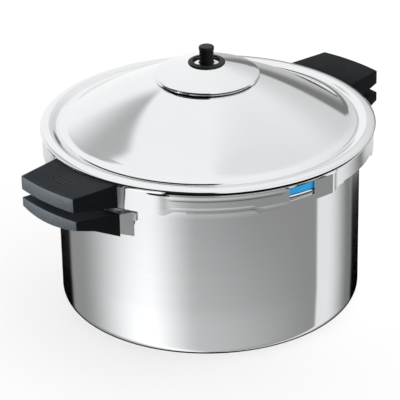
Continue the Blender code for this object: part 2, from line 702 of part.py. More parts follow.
# ---- Valve -----------------------------------------------------------------------------
def make_valve(parent):
    body = turned("valve_body", [
        (STEM_BORE, COLLAR_TOP), (COLLAR_RADIUS - 0.0004, COLLAR_TOP),
        (COLLAR_RADIUS, COLLAR_TOP - 0.0004), (COLLAR_RADIUS, VALVE_FLANGE_TOP),
        (VALVE_FLANGE_RADIUS, VALVE_FLANGE_TOP), (VALVE_FLANGE_RADIUS, VALVE_FLANGE_Z),
        (VALVE_TUBE_RADIUS, VALVE_FLANGE_Z), (VALVE_TUBE_RADIUS, VALVE_TUBE_Z),
        (VALVE_LOWER_BORE, VALVE_TUBE_Z), (VALVE_LOWER_BORE, WEB_Z),
        (STEM_ROD_RADIUS + STEM_GAP, WEB_Z), (STEM_ROD_RADIUS + STEM_GAP, WEB_TOP),
        (STEM_BORE, WEB_TOP)], SMALL_STEPS)
    finish(body, make_material("valve_body_steel", (0.80, 0.80, 0.81), 0.18, 1.0))

    seal = turned("valve_seal", [(VALVE_HOLE, SEAL_Z + SEAL_HEIGHT),
                                 (VALVE_FLANGE_RADIUS, SEAL_Z + SEAL_HEIGHT),
                                 (VALVE_FLANGE_RADIUS, SEAL_Z), (VALVE_HOLE, SEAL_Z)],
                  SMALL_STEPS)
    finish(seal, make_material("valve_seal_rubber", (0.03, 0.03, 0.03), 0.7, 0.0))

    nut_top = PLATEAU_Z - SHEET - GAP
    nut = cylinder("valve_nut", NUT_RADIUS, nut_top - NUT_HEIGHT, nut_top, sides=6)
    put_in(nut, PARTS)
    bore = cylinder("valve_nut_bore", VALVE_HOLE, nut_top - 2 * NUT_HEIGHT,
                    nut_top + NUT_HEIGHT)
    boolean(nut, bore)
    finish(nut, make_material("valve_nut_steel", (0.72, 0.72, 0.73), 0.28, 1.0))

    cup_bore = VALVE_TUBE_RADIUS + GAP
    cup_radius = cup_bore + MEMBRANE_WALL
    cup_top = VALVE_TUBE_Z + MEMBRANE_OVERLAP
    cup_floor = VALVE_TUBE_Z - MEMBRANE_ROOM
    membrane = turned("valve_membrane", [
        (cup_bore, cup_top), (cup_radius, cup_top),
        (cup_radius, cup_floor), (cup_radius - 0.0008, cup_floor - MEMBRANE_WALL),
        (MEMBRANE_HOLE, cup_floor - MEMBRANE_WALL), (MEMBRANE_HOLE, cup_floor),
        (cup_bore, cup_floor)], SMALL_STEPS)
    finish(membrane, make_material("membrane_silicone", (0.55, 0.07, 0.05), 0.5, 0.0))
    for piece in (body, seal, nut, bore, membrane):
        carry(piece, parent)


def make_indicator(parent):
    head_z = STEM_TOP - STEM_HEAD_HEIGHT
    ribs_start = COLLAR_TOP + 0.0046
    pitch = (head_z - ribs_start) / STEM_RIBS
    waist = STEM_RADIUS - STEM_RIB_DEPTH
    outline = [(0.0, STEM_TOP), (STEM_HEAD_RADIUS - 0.0009, STEM_TOP),
               (STEM_HEAD_RADIUS, STEM_TOP - 0.0009), (STEM_HEAD_RADIUS, head_z)]
    for rib in range(STEM_RIBS):
        top = head_z - rib * pitch
        outline += [(waist, top - 0.15 * pitch), (waist, top - 0.40 * pitch),
                    (STEM_RADIUS, top - 0.55 * pitch)]
        if rib < STEM_RIBS - 1:
            outline.append((STEM_RADIUS, top - 0.95 * pitch))
    for depth in (LOW_MARK_DEPTH, HIGH_MARK_DEPTH):
        groove_top = COLLAR_TOP - depth + GAP
        groove_z = groove_top - MARK_HEIGHT - 2 * GAP
        seat = STEM_RADIUS - MARK_THICKNESS - GAP
        outline += [(STEM_RADIUS, groove_top), (seat, groove_top),
                    (seat, groove_z), (STEM_RADIUS, groove_z)]
    clip_top = CLIP_Z + CLIP_HEIGHT + GAP
    clip_seat = STEM_ROD_RADIUS - 0.0004
    outline += [(STEM_RADIUS, STEM_FOOT), (STEM_ROD_RADIUS, STEM_FOOT),
                (STEM_ROD_RADIUS, clip_top), (clip_seat, clip_top),
                (clip_seat, CLIP_Z - GAP), (STEM_ROD_RADIUS, CLIP_Z - GAP),
                (STEM_ROD_RADIUS, ROD_Z - 0.0004), (0.0, ROD_Z - 0.0004)]
    stem = turned("indicator_stem", outline, SMALL_STEPS, closed=False)
    ear_z = COLLAR_TOP + PRESS_TRAVEL + GAP
    ears = box("stem_ears", (-EAR_REACH, -EAR_HALF_WIDTH, ear_z),
               (EAR_REACH, EAR_HALF_WIDTH, ear_z + EAR_HEIGHT), EAR_ANGLE)
    boolean(stem, ears, "UNION")
    finish(stem, make_material("indicator_black", (0.02, 0.02, 0.022), 0.4, 0.0))
    for piece in (stem, ears):
        carry(piece, parent)

    for name, depth in (("low", LOW_MARK_DEPTH), ("high", HIGH_MARK_DEPTH)):
        top = COLLAR_TOP - depth
        inner = STEM_RADIUS - MARK_THICKNESS
        mark = turned(f"{name}_pressure_mark", [
            (inner, top), (STEM_RADIUS, top), (STEM_RADIUS, top - MARK_HEIGHT),
            (inner, top - MARK_HEIGHT)], SMALL_STEPS)
        finish(mark, make_material(f"{name}_mark_red", (0.7, 0.03, 0.03), 0.4, 0.0))
        carry(mark, parent)

    clip_bore = STEM_ROD_RADIUS - 0.0001
    clip = turned("stem_clip", [(clip_bore, CLIP_Z + CLIP_HEIGHT),
                                (CLIP_RADIUS, CLIP_Z + CLIP_HEIGHT), (CLIP_RADIUS, CLIP_Z),
                                (clip_bore, CLIP_Z)], SMALL_STEPS)
    mouth = box("clip_mouth", (0.0, -clip_bore * 0.7, CLIP_Z - 0.001),
                (CLIP_RADIUS + 0.001, clip_bore * 0.7, CLIP_Z + CLIP_HEIGHT + 0.001))
    boolean(clip, mouth)
    finish(clip, make_material("stem_clip_steel", (0.6, 0.6, 0.62), 0.3, 1.0))
    for piece in (clip, mouth):
        carry(piece, parent)


def make_spring(parent):
    """Coil between the web of the valve's body and the foot of the stem."""
    bottom = WEB_TOP + GAP + SPRING_WIRE
    top = STEM_FOOT - GAP - SPRING_WIRE
    per_turn = 10
    count = SPRING_TURNS * per_turn
    curve = bpy.data.curves.new("indicator_spring", "CURVE")
    curve.dimensions = "3D"
    curve.bevel_depth = SPRING_WIRE
    curve.bevel_resolution = 1
    curve.use_fill_caps = True
    path = curve.splines.new("POLY")
    path.points.add(count)
    for i in range(count + 1):
        angle = 2 * math.pi * i / per_turn
        path.points[i].co = (SPRING_RADIUS * math.cos(angle), SPRING_RADIUS * math.sin(angle),
                             bottom + (top - bottom) * i / count, 1.0)
    spring = bpy.data.objects.new("indicator_spring", curve)
    PARTS.objects.link(spring)
    curve.materials.append(make_material("spring_steel", (0.65, 0.65, 0.67), 0.25, 1.0))
    carry(spring, parent)


def make_cover(parent):
    edge = COVER_SHEET
    top = [(COVER_BORE, cover_height(COVER_BORE)),
           (COVER_SHOULDER_RADIUS - 0.0004, cover_height(COVER_SHOULDER_RADIUS - 0.0004)),
           (COVER_RADIUS - 0.0003, COVER_SHOULDER_Z - 0.0008), (COVER_RADIUS, COVER_EDGE_Z)]
    under = [(COVER_RADIUS - edge, COVER_EDGE_Z),
             (COVER_SHOULDER_RADIUS - edge, COVER_SHOULDER_Z - edge),
             (COVER_BORE, cover_height(COVER_BORE) - edge)]
    cover = turned("valve_cover", top + under)
    finish(cover, make_material("valve_cover_steel", *STEEL))

    sleeve = COVER_RING_BORE + COVER_RING_SLEEVE
    seat = cover_height(sleeve) + GAP
    ring = turned("cover_ring", [
        (COVER_RING_BORE, seat + 0.0010), (COVER_RING_BORE + 0.0006, seat + 0.0015),
        (sleeve + 0.0008, seat + 0.0012),
        (COVER_RING_RADIUS - 0.0004, cover_height(COVER_RING_RADIUS) + 0.0014),
        (COVER_RING_RADIUS, cover_height(COVER_RING_RADIUS) + 0.0009),
        (COVER_RING_RADIUS, cover_height(COVER_RING_RADIUS) + GAP),
        (sleeve, seat), (sleeve, VALVE_FLANGE_TOP + GAP),
        (COVER_RING_BORE, VALVE_FLANGE_TOP + GAP)], SMALL_STEPS)
    finish(ring, make_material("cover_ring_black", (0.03, 0.033, 0.036), 0.5, 0.0))
    for piece in (cover, ring):
        carry(piece, parent)


# ---- Assembly --------------------------------------------------------------------------
def main():
    make_pot_shell()
    make_pot_flange()
    make_base()
    seal_lift = axis_empty("seal_lift_axis", FLANGE_TOP)
    lid_turn = axis_empty("lid_turn_axis", FLANGE_TOP, seal_lift)
    cover_lift = axis_empty("cover_lift_axis", PLATEAU_Z, lid_turn)
    stem_slide = axis_empty("indicator_axis", COLLAR_TOP, lid_turn)
    carry(make_gasket(), seal_lift)
    make_lid_shell(lid_turn)
    for side, angle in (("right", 0.0), ("left", 180.0)):
        make_pot_grip(side, angle)
        make_lid_grip(side, angle, lid_turn)
    make_valve(lid_turn)
    make_indicator(stem_slide)
    make_spring(stem_slide)
    make_cover(cover_lift)
    bpy.context.view_layer.update()


main()
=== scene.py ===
"""Looks of a stovetop pressure cooker: polished steel pot and lid, moulded grips, silicone sealing ring."""
import math

import bpy
from mathutils import Matrix, Vector


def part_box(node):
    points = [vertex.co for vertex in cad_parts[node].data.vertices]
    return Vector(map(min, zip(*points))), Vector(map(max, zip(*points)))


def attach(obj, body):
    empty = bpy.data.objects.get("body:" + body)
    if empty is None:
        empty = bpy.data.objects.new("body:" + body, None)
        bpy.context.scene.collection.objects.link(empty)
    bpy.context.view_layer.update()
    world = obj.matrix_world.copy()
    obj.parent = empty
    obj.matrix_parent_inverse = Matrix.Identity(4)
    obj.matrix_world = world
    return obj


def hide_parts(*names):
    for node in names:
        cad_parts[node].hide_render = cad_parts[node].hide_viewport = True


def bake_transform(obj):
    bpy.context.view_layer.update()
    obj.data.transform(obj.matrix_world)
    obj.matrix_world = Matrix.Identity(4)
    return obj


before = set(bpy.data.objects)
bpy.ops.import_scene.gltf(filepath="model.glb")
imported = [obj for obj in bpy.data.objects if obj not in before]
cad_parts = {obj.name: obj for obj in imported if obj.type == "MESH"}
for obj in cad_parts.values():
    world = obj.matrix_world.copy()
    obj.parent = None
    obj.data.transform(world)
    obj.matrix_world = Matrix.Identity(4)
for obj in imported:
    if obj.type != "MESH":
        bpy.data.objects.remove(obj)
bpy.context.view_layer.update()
bpy.ops.object.select_all(action="DESELECT")

# ---- Sizes, in metres, from the frame ------------------------------------------------------
wall_low, wall_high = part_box("pot_shell")
flange_low, flange_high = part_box("pot_flange")
lid_low, lid_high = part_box("lid_shell")
ring_low, ring_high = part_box("gasket")
cover_low, cover_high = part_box("valve_cover")
collar_low, collar_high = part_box("valve_body")
trim_low, trim_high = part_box("cover_ring")
stem_low, stem_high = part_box("indicator_stem")
cap_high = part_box("base_cap")[1]
lid_grip_low, lid_grip_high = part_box("lid_grip_right")

SHEET = 0.0012
WALL_RADIUS = wall_high.x
FLOOR_Z = wall_low.z
FLANGE_RADIUS = flange_high.x
FLANGE_TOP = flange_high.z
RIM_RADIUS = lid_high.y
VALLEY_RADIUS = WALL_RADIUS - 0.0027
DOME_RISE = 0.0574
DOME_POWER = 1.45
PLATEAU_RADIUS = 0.0340
PLATEAU_Z = lid_high.z
VALLEY_Z = PLATEAU_Z - DOME_RISE * (1 - (PLATEAU_RADIUS / VALLEY_RADIUS) ** DOME_POWER)
MM = 0.001

AROUND = 360                 # faces around the pot and the lid
WINDOW = (253.4, 263.4)      # the window in the lid's skirt, in degrees from +X
PLATE = (242.6, 272.3)       # the tall stretch of skirt that holds the window
GRIP_END = 211.0             # end of the tall stretch at the grip
NEXT_GRIP = 303.0            # start of the tall stretch at the other grip
LUGS = (77.5, 167.5, 257.5, 347.5)
LUG_HALF = 13.0
UNLOCK = 36.0
SKIRT_INSET = 0.0018         # how far the skirt stands inside the rim
STRAIGHT_SKIRT = 11.2        # mm of skirt that keep their place where the skirt is cut back
FULL_SKIRT = 18.8            # mm of skirt where it is tall
GRIP_REACH = 0.0440          # of a grip, outwards
BRACKET_REACH = 0.0145       # of a pot bracket in front of its grip
JOINT_GAP = 0.0003
FRONT = 226.35               # the direction that the camera stands in, in degrees


# ---- Modelling helpers -----------------------------------------------------------------------
def edit():
    bpy.ops.object.mode_set(mode="EDIT")


def done():
    bpy.ops.object.mode_set(mode="OBJECT")


def pick(piece):
    """Select this piece alone and make it the active one."""
    bpy.ops.object.select_all(action="DESELECT")
    piece.select_set(True)
    bpy.context.view_layer.objects.active = piece


def start_point(at):
    """A new piece in edit mode that is one point, which extruding turns into an outline."""
    bpy.ops.object.select_all(action="DESELECT")
    bpy.ops.mesh.primitive_plane_add(size=0.01)
    edit()
    bpy.ops.mesh.select_all(action="SELECT")
    bpy.ops.mesh.merge(type="CENTER")
    bpy.ops.transform.translate(value=at)
    return bpy.context.active_object


def turned(name, outline, steps, closed=True, angle=360.0, first=0.0):
    """Turn an outline of (radius, height) points about the cooker's axis."""
    piece = start_point((outline[0][0], 0, outline[0][1]))
    for (r0, z0), (r1, z1) in zip(outline, outline[1:]):
        bpy.ops.mesh.extrude_region_move(TRANSFORM_OT_translate={"value": (r1 - r0, 0, z1 - z0)})
    if closed:
        r0, z0 = outline[-1]
        r1, z1 = outline[0]
        bpy.ops.mesh.extrude_region_move(TRANSFORM_OT_translate={"value": (r1 - r0, 0, z1 - z0)})
    bpy.ops.mesh.select_all(action="SELECT")
    bpy.ops.mesh.remove_doubles(threshold=0.000002)
    bpy.ops.transform.rotate(value=-math.radians(first), orient_axis="Z", center_override=(0, 0, 0))
    bpy.ops.mesh.spin(steps=steps, angle=math.radians(angle), center=(0, 0, 0), axis=(0, 0, -1))
    bpy.ops.mesh.select_all(action="SELECT")
    bpy.ops.mesh.remove_doubles(threshold=0.000002)
    bpy.ops.mesh.normals_make_consistent(inside=False)
    done()
    piece.name = name
    piece.data.name = name
    return piece


def arc(center, radius, start, end, points):
    """Points of an arc in the outline's plane, angles from outwards towards up."""
    angles = [math.radians(start + (end - start) * i / (points - 1)) for i in range(points)]
    return [(center[0] + radius * math.cos(a), center[1] + radius * math.sin(a)) for a in angles]


def smooth_line(knots, per_span=4):
    """A smooth line through all the knots."""
    points = []
    for i in range(len(knots) - 1):
        a = Vector(knots[max(i - 1, 0)])
        b = Vector(knots[i])
        c = Vector(knots[i + 1])
        d = Vector(knots[min(i + 2, len(knots) - 1)])
        for step in range(per_span):
            t = step / per_span
            p = b + 0.5 * t * ((c - a) + t * ((2 * a - 5 * b + 4 * c - d)
                                              + t * (3 * (b - c) + d - a)))
            points.append((p.x, p.y))
    points.append(tuple(knots[-1]))
    return points


def modify(piece, kind, **settings):
    """Add a modifier, set it and apply it."""
    pick(piece)
    modifier = piece.modifiers.new(kind.lower(), kind)
    for key, value in settings.items():
        setattr(modifier, key, value)
    bpy.ops.object.modifier_apply(modifier=modifier.name)


def cut(piece, tool, operation="DIFFERENCE"):
    modify(piece, "BOOLEAN", object=tool, operation=operation, solver="EXACT")
    bpy.data.objects.remove(tool)


def shade(piece, angle=35):
    pick(piece)
    bpy.ops.object.shade_smooth_by_angle(angle=math.radians(angle))


def place(piece):
    """Put the piece's place in its mesh and its object at the origin."""
    pick(piece)
    bpy.ops.object.transform_apply(location=True, rotation=True, scale=True)


def half_turned(piece, name):
    """A copy of the piece on the other side of the axis, with its own mesh."""
    other = piece.copy()
    other.data = piece.data.copy()
    other.name = name
    other.data.name = name
    bpy.context.collection.objects.link(other)
    other.data.transform(Matrix.Rotation(math.pi, 4, "Z"))
    return other


def select_faces(piece, wanted):
    """Select the faces whose middle passes the test, in edit mode afterwards."""
    edit()
    bpy.ops.mesh.select_mode(type="FACE")
    bpy.ops.mesh.select_all(action="DESELECT")
    done()
    for face in piece.data.polygons:
        face.select = wanted(face.center)
    edit()


def drop_faces(piece, wanted):
    bpy.context.view_layer.objects.active = piece
    select_faces(piece, wanted)
    bpy.ops.mesh.delete(type="FACE")
    bpy.ops.mesh.select_mode(type="VERT")
    done()


def degrees_of(point):
    return math.degrees(math.atan2(point[1], point[0])) % 360.0


def radius_of(point):
    return math.hypot(point[0], point[1])


def finish_piece(piece, surface, body, slot, *nodes, angle=35):
    """Shade a piece, give it its material, and tie it to the frame."""
    shade(piece, angle)
    piece.data.materials.clear()
    piece.data.materials.append(surface)
    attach(piece, body)
    if slot == "grip_black":
        MOULDED.objects.link(piece)
    if nodes:
        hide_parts(*nodes)
    return piece


# ---- Materials ---------------------------------------------------------------------------------
class Value:
    """A socket in a node tree that can stand in a Python expression."""

    def __init__(self, tree, socket):
        self.tree = tree
        self.socket = socket

    def math(self, operation, *others):
        node = self.tree.nodes.new("ShaderNodeMath")
        node.operation = operation
        for i, item in enumerate(others):
            put(self.tree, node.inputs[i], item)
        return Value(self.tree, node.outputs[0])

    def __add__(self, other):
        return self.math("ADD", self, other)

    def __radd__(self, other):
        return self.math("ADD", other, self)

    def __sub__(self, other):
        return self.math("SUBTRACT", self, other)

    def __rsub__(self, other):
        return self.math("SUBTRACT", other, self)

    def __mul__(self, other):
        return self.math("MULTIPLY", self, other)

    def __rmul__(self, other):
        return self.math("MULTIPLY", other, self)


def put(tree, socket, item):
    """Link a Value to a socket, or set a plain number or colour on it."""
    if isinstance(item, Value):
        tree.links.new(item.socket, socket)
    else:
        socket.default_value = item


class Nodes:
    """The node tree of one material or of the world."""

    def __init__(self, owner):
        owner.use_nodes = True
        self.tree = owner.node_tree
        self.tree.nodes.clear()

    def node(self, kind, settings=(), sockets=(), out=0):
        made = self.tree.nodes.new(kind)
        for key, value in dict(settings).items():
            setattr(made, key, value)
        for key, item in dict(sockets).items():
            put(self.tree, made.inputs[key], item)
        return Value(self.tree, made.outputs[out]) if made.outputs else None

    def place(self, scale=(1, 1, 1)):
        """Object coordinates, stretched."""
        coordinates = self.node("ShaderNodeTexCoord", out="Object")
        return self.node("ShaderNodeMapping", (), {"Vector": coordinates, "Scale": scale})

    def noise(self, scale, detail=2.0, stretch=(1, 1, 1), roughness=0.5):
        return self.node("ShaderNodeTexNoise", (), {
            "Vector": self.place(stretch), "Scale": scale, "Detail": detail,
            "Roughness": roughness})

    def step(self, value, low, high):
        """From 0 to 1 as the value goes from low to high, softly."""
        return self.node("ShaderNodeMapRange", {"interpolation_type": "SMOOTHSTEP"}, {
            "Value": value, "From Min": low, "From Max": high})

    def blend(self, share, one, other):
        return self.node("ShaderNodeMix", {"data_type": "RGBA"}, {
            "Factor": share, 6: one, 7: other}, out=2)

    def bump(self, height, strength, distance):
        return self.node("ShaderNodeBump", (), {
            "Height": height, "Strength": strength, "Distance": distance})

    def surface(self, **sockets):
        names = {key.replace("_", " "): item for key, item in sockets.items()}
        shader = self.node("ShaderNodeBsdfPrincipled", (), names)
        self.node("ShaderNodeOutputMaterial", (), {"Surface": shader})


def new_finish(name):
    surface = bpy.data.materials.new(name)
    return surface, Nodes(surface)


def rgb(red, green, blue):
    return (red, green, blue, 1.0)


def mirror_steel(name, color, rough, shadow_band=None):
    """Polished sheet: faint wiping marks and hairline scratches.

    A shadow band is nearly black paint between two heights and radii, for the groove under the rim.
    """
    surface, n = new_finish(name)
    smudge = n.noise(9, 3, roughness=0.6)
    hair = n.noise(1, 1, stretch=(60, 60, 1400))
    tint = n.blend(n.step(smudge, 0.35, 0.7), rgb(*color), rgb(*[c * 0.97 for c in color]))
    if shadow_band:
        low, high, soft, start, inner, outer = shadow_band
        parts = n.node("ShaderNodeSeparateXYZ", (), {"Vector": n.place()}, out="Z")
        flat = n.node("ShaderNodeVectorMath", {"operation": "MULTIPLY"}, {0: n.place(), 1: (1, 1, 0)})
        radius = n.node("ShaderNodeVectorMath", {"operation": "LENGTH"}, {0: flat}, out="Value")
        band = n.step(parts, low - soft, low + soft) * n.step(parts, high + soft, high - soft)
        band = band * n.step(radius, outer, inner) * n.step(radius, start, start + 0.001)
        tint = n.blend(band, tint, rgb(0.012, 0.013, 0.014))
    grain = n.bump(hair, 0.05, 0.00002)
    n.surface(Base_Color=tint, Metallic=1.0, Normal=grain,
              Roughness=rough + 0.035 * n.step(smudge, 0.3, 0.75) + 0.03 * hair)
    return surface


def brushed_steel(name, color, rough, stretch=0.75):
    """The pot's wall: fine lines around it, which draw reflections out up and down."""
    surface, n = new_finish(name)
    lines = n.noise(1, 1, stretch=(9, 9, 3200))
    broad = n.noise(6, 2)
    tint = n.blend(n.step(lines, 0.3, 0.7), rgb(*color), rgb(*[c * 0.975 for c in color]))
    n.surface(Base_Color=tint, Metallic=1.0, Anisotropic=stretch, Anisotropic_Rotation=0.25,
              Roughness=rough + 0.02 * lines + 0.015 * broad, Normal=n.bump(lines, 0.015, 0.00002))
    return surface


def moulded_black(name, color, rough, grain=0.25, shine=0.12):
    """Moulded plastic with a fine spark-eroded grain and a little dust lying on it."""
    surface, n = new_finish(name)
    pores = n.noise(2600, 2)
    cloud = n.noise(24, 3)
    mottle = n.noise(330, 3, roughness=0.65)
    up = n.node("ShaderNodeSeparateXYZ", (), {
        "Vector": n.node("ShaderNodeNewGeometry", out="Normal")}, out="Z")
    dust = n.step(up, 0.3, 1.0) * n.step(cloud, 0.3, 0.8)
    tint = n.blend(0.35 * dust, rgb(*color), rgb(*[c * 1.6 + 0.01 for c in color]))
    tint = n.blend(0.5 * n.step(mottle, 0.35, 0.75), tint, rgb(*[c * 2.0 for c in color]))
    n.surface(Base_Color=tint, Roughness=rough + 0.10 * cloud + 0.06 * pores + 0.10 * mottle,
              Specular_IOR_Level=shine, Normal=n.bump(pores, grain, 0.00012))
    return surface


def silicone(name, color, rough):
    surface, n = new_finish(name)
    cloud = n.noise(60, 2)
    skin = n.noise(1800, 2)
    tint = n.blend(n.step(cloud, 0.3, 0.7), rgb(*color), rgb(*[c * 0.85 for c in color]))
    n.surface(Base_Color=tint, Roughness=rough + 0.08 * cloud, Normal=n.bump(skin, 0.1, 0.00006))
    return surface


def plain_metal(name, color, rough, scratch=0.05):
    surface, n = new_finish(name)
    lines = n.noise(1, 2, stretch=(240, 240, 900))
    cloud = n.noise(40, 3)
    tint = n.blend(cloud, rgb(*color), rgb(*[c * 0.88 for c in color]))
    n.surface(Base_Color=tint, Metallic=1.0, Roughness=rough + 0.08 * cloud,
              Normal=n.bump(lines, scratch, 0.00004))
    return surface


# The lid's steel carries a painted shadow: a nearly black band in the groove under the rim.
LID_STEEL = mirror_steel("polished_lid_steel", (0.86, 0.87, 0.88), 0.05,
                         (VALLEY_Z - 0.0046, VALLEY_Z + 0.0006, 0.0003, 0.1500, 0.1533, 0.1541))
COVER_STEEL = mirror_steel("polished_cover_steel", (0.86, 0.87, 0.88), 0.05)
COLLAR_STEEL = mirror_steel("collar_steel", (0.85, 0.86, 0.87), 0.10)
POT_STEEL = brushed_steel("brushed_pot_steel", (0.86, 0.87, 0.88), 0.075)
BASE_STEEL = plain_metal("base_steel", (0.66, 0.67, 0.68), 0.24)
BRACKET_STEEL = plain_metal("bracket_steel", (0.90, 0.91, 0.92), 0.30, 0.02)
SCREW_STEEL = plain_metal("screw_steel", (0.6, 0.61, 0.62), 0.28)
CORE_METAL = plain_metal("core_aluminium", (0.74, 0.75, 0.76), 0.38)
SPRING_METAL = plain_metal("spring_steel", (0.62, 0.62, 0.64), 0.25)
GRIP_BLACK = moulded_black("grip_plastic", (0.0046, 0.0054, 0.0062), 0.46, 0.25, 0.06)
VALVE_BLACK = moulded_black("valve_plastic", (0.006, 0.0065, 0.007), 0.32, 0.1, 0.3)
RING_BLUE = silicone("blue_silicone", (0.008, 0.40, 0.84), 0.42)
CUP_RED = silicone("red_silicone", (0.50, 0.05, 0.04), 0.45)
MARK_RED = silicone("red_mark", (0.66, 0.02, 0.02), 0.35)
SEAL_BLACK = silicone("black_rubber", (0.02, 0.02, 0.02), 0.55)


# ---- Camera, floor and light -----------------------------------------------------------------------
CAMERA_TURN = math.radians(-43.65)
CAMERA_RISE = math.radians(26.33)
CAMERA_ROLL = math.radians(-1.0845)
CAMERA_DISTANCE = 2.1048
LOOK_AT_SIDE = -0.00844
LOOK_AT_HEIGHT = 0.0950


def make_camera():
    right = Vector((math.cos(CAMERA_TURN), math.sin(CAMERA_TURN), 0))
    ahead = Vector((-math.sin(CAMERA_TURN), math.cos(CAMERA_TURN), 0))
    view = ahead * math.cos(CAMERA_RISE) - Vector((0, 0, math.sin(CAMERA_RISE)))
    above = right.cross(view)
    side = right * math.cos(CAMERA_ROLL) + above * math.sin(CAMERA_ROLL)
    above = above * math.cos(CAMERA_ROLL) - right * math.sin(CAMERA_ROLL)
    data = bpy.data.cameras.new("camera")
    data.lens = 200.04
    data.sensor_width = 36.0
    camera = bpy.data.objects.new("camera", data)
    bpy.context.collection.objects.link(camera)
    spot = right * LOOK_AT_SIDE + Vector((0, 0, LOOK_AT_HEIGHT)) - view * CAMERA_DISTANCE
    camera.matrix_world = Matrix((
        (side.x, above.x, -view.x, spot.x), (side.y, above.y, -view.y, spot.y),
        (side.z, above.z, -view.z, spot.z), (0, 0, 0, 1)))
    bpy.context.scene.camera = camera


def make_floor():
    bpy.ops.mesh.primitive_plane_add(size=60, location=(0, 0, 0))
    floor = bpy.context.active_object
    floor.name = "floor"
    surface, n = new_finish("pale_floor")
    n.surface(Base_Color=rgb(0.45, 0.45, 0.45), Roughness=0.9, Emission_Color=rgb(1, 1, 1),
              Emission_Strength=0.72)
    floor.data.materials.append(surface)
    floor.visible_glossy = False


def make_light():
    """A white studio with soft lights and grey and dark cards, placed for the view from the front."""
    world = bpy.data.worlds.new("studio")
    bpy.context.scene.world = world
    n = Nodes(world)
    ray = n.node("ShaderNodeTexCoord", out="Generated")
    x = n.node("ShaderNodeSeparateXYZ", (), {"Vector": ray}, out="X")
    y = n.node("ShaderNodeSeparateXYZ", (), {"Vector": ray}, out="Y")
    z = n.node("ShaderNodeSeparateXYZ", (), {"Vector": ray}, out="Z")
    # Angle round the cooker from its front, positive to the right, and angle above the horizon.
    turn = x.math("ARCTAN2", y, x) * (180 / math.pi)
    turn = turn.math("WRAP", turn - FRONT, 180.0, -180.0)
    rise = z.math("ARCSINE", z) * (180 / math.pi)
    # Below the horizon: a grey floor, bright on the left and from a panel on the right, and
    # dark cards behind at both sides.
    low = n.step(rise, -18.0, -22.5)
    left = n.step(turn, -122.0, -48.0) * (0.62 * n.step(turn, -8.0, -50.0)
                                          + 0.12 * n.step(turn, 40.0, -30.0))
    right = n.step(turn, 88.5, 90.5) * n.step(turn, 134.0, 101.0) * 0.68
    sides = n.step(turn, -139.5, -131.5) * n.step(turn, 143.5, 137.5)
    sides = 1.0 - (1.0 - sides) * n.step(rise, -25.15, -25.65)
    grey = sides * (0.29 - 0.09 * n.step(turn, 88.5, 90.5))
    grey = grey + 0.5 * n.step(rise, -25.65, -25.15) * (n.step(turn, -128.0, -142.0)
                                                       + n.step(turn, 128.0, 142.0))
    near = n.step(rise, -26.4, -30.4) * n.step(turn, 95.0, 15.0) * n.step(turn, -110.0, -60.0)
    below = grey + left + right + 0.21 * near
    # Above it: a white studio, a grey card high on the left at the back, a dark one low on
    # the right at the back, a dark belt between floor and lights, and a dark panel at the front.
    card = n.step(turn, -158.0, -150.0) * n.step(turn, -126.0, -130.0)
    card = card * n.step(rise - 0.66 * turn, 142.5, 137.5) * n.step(rise, 12.0, 42.0)
    back = n.step(turn, 114.0, 126.0) * (0.80 * n.step(rise, 13.0, 10.0)
                                         - 0.34 * n.step(rise, 5.0, -7.0))
    back = back + 0.30 * n.step(turn, 100.0, 130.0) * n.step(rise, 46.0, 12.0) \
        * n.step(rise, 10.0, 13.0)
    back = back + 0.16 * n.step(turn, 90.0, 122.0) * n.step(turn, 180.0, 116.0) \
        * n.step(rise, 10.0, 30.0)
    belt = n.step(turn, -114.0, -104.0) * n.step(turn, 112.0, 100.0) * n.step(rise, -4.0, -7.0)
    over = n.step(turn, -114.0, -104.0) * n.step(turn, 14.0, 4.0) * n.step(rise, 85.0, 81.0)
    above = (1.01 - 0.52 * card - back) * (1.0 - 0.985 * belt) * (1.0 - 0.98 * over)
    light = low * below + (1.0 - low) * above
    shine = n.node("ShaderNodeBackground", (), {
        "Color": n.node("ShaderNodeCombineColor", (), {"Red": light, "Green": light, "Blue": light}),
        "Strength": 1.0})
    n.node("ShaderNodeOutputWorld", (), {"Surface": shine})
    bpy.context.scene.view_settings.view_transform = "Standard"


def make_grip_light():
    """A soft light low on the left, for the moulded pieces only."""
    moulded = bpy.data.collections.new("moulded_pieces")
    turn = math.radians(FRONT - 78.0)
    rise = math.radians(9.0)
    reach = 3.0
    bpy.ops.object.light_add(type="AREA", location=(
        reach * math.cos(rise) * math.cos(turn), reach * math.cos(rise) * math.sin(turn),
        reach * math.sin(rise) + 0.15))
    lamp = bpy.context.active_object
    lamp.rotation_euler = (lamp.location - Vector((0, 0, 0.15))).to_track_quat("Z", "Y").to_euler()
    lamp.data.energy = 1250
    lamp.data.color = (0.92, 0.97, 1.0)
    lamp.data.size = 1.2
    lamp.visible_camera = False
    lamp.light_linking.receiver_collection = moulded
    return moulded


make_camera()
make_floor()
make_light()
MOULDED = make_grip_light()


